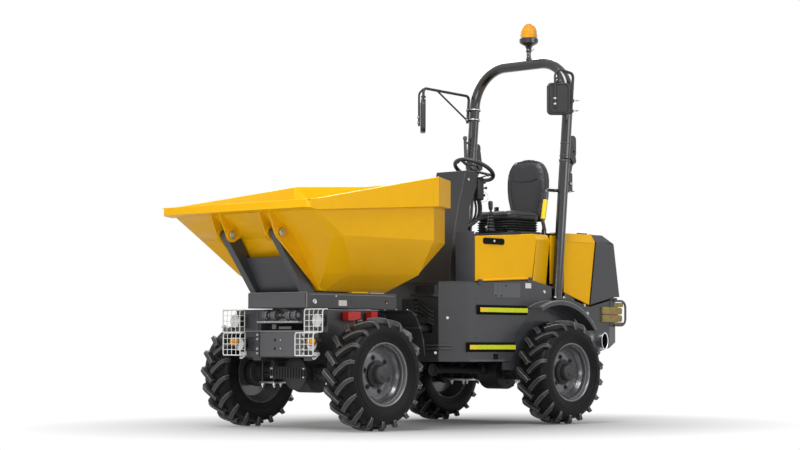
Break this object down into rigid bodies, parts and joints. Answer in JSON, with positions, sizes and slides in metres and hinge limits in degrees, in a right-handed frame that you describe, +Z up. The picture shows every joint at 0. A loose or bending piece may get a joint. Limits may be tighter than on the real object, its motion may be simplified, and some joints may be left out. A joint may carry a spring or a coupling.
{
  "type": "articulated site dumper with swivel skip",
  "caption": "Articulated site dumper: a swivelling, forward-tipping skip on the front chassis, operator's seat and folding roll bar over the rear engine.",
  "frame": {"origin": "on the ground, midway along the machine's length and width", "axes": "+Z up, the machine faces -Y, +X is its left-hand side"},
  "size_m": [1.517, 3.85, 3.131],
  "materials": {
    "black_paint": "satin",
    "cast_black": "rough",
    "lime_paint": "satin",
    "grey_plastic": "textured",
    "black_plastic": "satin",
    "black_rubber": "matt",
    "black_vinyl": "satin vinyl",
    "chrome": "polished",
    "steel": "zinc plated",
    "white_wire": "gloss",
    "lamp": "clear",
    "yellow_paint": "gloss",
    "amber": "clear amber",
    "tyre": "matt",
    "rim_paint": "gloss"
  },
  "bodies": {
    "rear_chassis": {"rear_frame": "black_paint", "rear_axle": "cast_black", "operator_platform": "black_paint", "steps": "lime_paint", "console": "grey_plastic", "steering_column": "black_plastic", "seat_base": "black_rubber", "seat_cushion": "black_vinyl", "seat_back": "black_vinyl", "hand_rails": "black_paint", "rops_posts": "black_paint", "engine_block": "cast_black", "bonnet_flanks": "yellow_paint", "rear_mudguards": "black_plastic", "rear_lamp_guards": "black_paint", "exhaust_tip": "chrome"},
    "front_chassis": {"front_frame": "black_paint", "front_axle": "cast_black", "slew_base_ring": "steel", "slew_drive": "black_paint", "upper_lamp_guards": "white_wire", "lower_lamp_guards": "white_wire", "head_lamps": "lamp", "front_mud_flaps": "black_rubber"},
    "turret": {"turret_frame": "black_paint", "slew_top_ring": "steel", "turret_cover": "black_paint"},
    "skip": {"skip": "yellow_paint", "tip_pins": "steel"},
    "tip_barrel": {"tip_ram_barrel": "black_paint"},
    "tip_stage": {"tip_ram_stage": "chrome"},
    "tip_rod": {"tip_ram_rod": "chrome"},
    "steer_barrel": {"steering_ram_barrel": "black_paint"},
    "steer_rod": {"steering_ram_rod": "chrome"},
    "steering_wheel": {"steering_wheel": "black_plastic"},
    "left_door": {"left_door": "yellow_paint"},
    "right_door": {"right_door": "yellow_paint"},
    "engine_cover": {"engine_cover": "yellow_paint", "rear_cover": "grey_plastic"},
    "roll_bar": {"rops_hoop": "black_paint", "beacon": "amber", "left_mirror": "black_plastic", "right_mirror": "black_plastic"},
    "wheel_front_left": {"tyre_front_left": "tyre", "rim_front_left": "rim_paint"},
    "wheel_front_right": {"tyre_front_right": "tyre", "rim_front_right": "rim_paint"},
    "wheel_rear_left": {"tyre_rear_left": "tyre", "rim_rear_left": "rim_paint"},
    "wheel_rear_right": {"tyre_rear_right": "tyre", "rim_rear_right": "rim_paint"}
  },
  "joints": [
    {"name": "articulation", "type": "hinge", "parent": "rear_chassis", "child": "front_chassis", "pos_m": [0, -0.425, 0.6], "axis": [0, 0, 1], "range_deg": [-33, 33]},
    {"name": "skip_swivel", "type": "hinge", "parent": "front_chassis", "child": "turret", "pos_m": [0, -1.181, 0.84], "axis": [0, 0, 1], "range_deg": [-90, 90]},
    {"name": "skip_tip", "type": "hinge", "parent": "turret", "child": "skip", "pos_m": [0, -1.75, 1.355], "axis": [1, 0, 0], "range_deg": [0, 70]},
    {"name": "tip_ram_pivot", "type": "hinge", "parent": "turret", "child": "tip_barrel", "pos_m": [0, -1.405, 0.905], "axis": [1, 0, 0], "range_deg": [0, 72.5]},
    {"name": "tip_ram_first_stage", "type": "slide", "parent": "tip_barrel", "child": "tip_stage", "axis": [0, 1, 0], "range_m": [0, 0.3271]},
    {"name": "tip_ram_second_stage", "type": "slide", "parent": "tip_stage", "child": "tip_rod", "axis": [0, 1, 0], "range_m": [0, 0.3271]},
    {"name": "steering_ram_pivot", "type": "hinge", "parent": "rear_chassis", "child": "steer_barrel", "pos_m": [0.23, -0.1, 0.715], "axis": [0, 0, 1], "range_deg": [-8, 8]},
    {"name": "steering_ram_stroke", "type": "slide", "parent": "steer_barrel", "child": "steer_rod", "axis": [-0.1336, -0.991, 0], "range_m": [-0.12, 0.12]},
    {"name": "steering_wheel_turn", "type": "hinge", "parent": "rear_chassis", "child": "steering_wheel", "pos_m": [0, 0.555, 1.94], "axis": [0, 0.4695, 0.8829], "continuous": true},
    {"name": "left_door_hinge", "type": "hinge", "parent": "rear_chassis", "child": "left_door", "pos_m": [0.509, 0.3335, 1.0815], "axis": [0, 0.9988, 0.0486], "range_deg": [0, 85]},
    {"name": "right_door_hinge", "type": "hinge", "parent": "rear_chassis", "child": "right_door", "pos_m": [-0.509, 0.3335, 1.0815], "axis": [0, -0.9988, -0.0486], "range_deg": [0, 85]},
    {"name": "engine_cover_hinge", "type": "hinge", "parent": "rear_chassis", "child": "engine_cover", "pos_m": [0, 1.78, 0.985], "axis": [-1, 0, 0], "range_deg": [0, 50]},
    {"name": "roll_bar_fold", "type": "hinge", "parent": "rear_chassis", "child": "roll_bar", "pos_m": [0, 1.1523, 2.02], "axis": [-1, 0, 0], "range_deg": [0, 95]},
    {"name": "roll_front_left", "type": "hinge", "parent": "front_chassis", "child": "wheel_front_left", "pos_m": [0.626, -1.181, 0.39], "axis": [1, 0, 0], "continuous": true},
    {"name": "roll_front_right", "type": "hinge", "parent": "front_chassis", "child": "wheel_front_right", "pos_m": [-0.626, -1.181, 0.39], "axis": [1, 0, 0], "continuous": true},
    {"name": "roll_rear_left", "type": "hinge", "parent": "rear_chassis", "child": "wheel_rear_left", "pos_m": [0.626, 0.832, 0.39], "axis": [1, 0, 0], "continuous": true},
    {"name": "roll_rear_right", "type": "hinge", "parent": "rear_chassis", "child": "wheel_rear_right", "pos_m": [-0.626, 0.832, 0.39], "axis": [1, 0, 0], "continuous": true}
  ],
  "couplings": [
    {"joint": "tip_ram_pivot", "follows": "skip_tip", "ratio": 1.0209},
    {"joint": "tip_ram_first_stage", "follows": "skip_tip", "m_per_rad": 0.26611},
    {"joint": "tip_ram_second_stage", "follows": "skip_tip", "m_per_rad": 0.26611},
    {"joint": "steering_ram_pivot", "follows": "articulation", "ratio": 0.19144},
    {"joint": "steering_ram_stroke", "follows": "articulation", "m_per_rad": -0.17927}
  ]
}
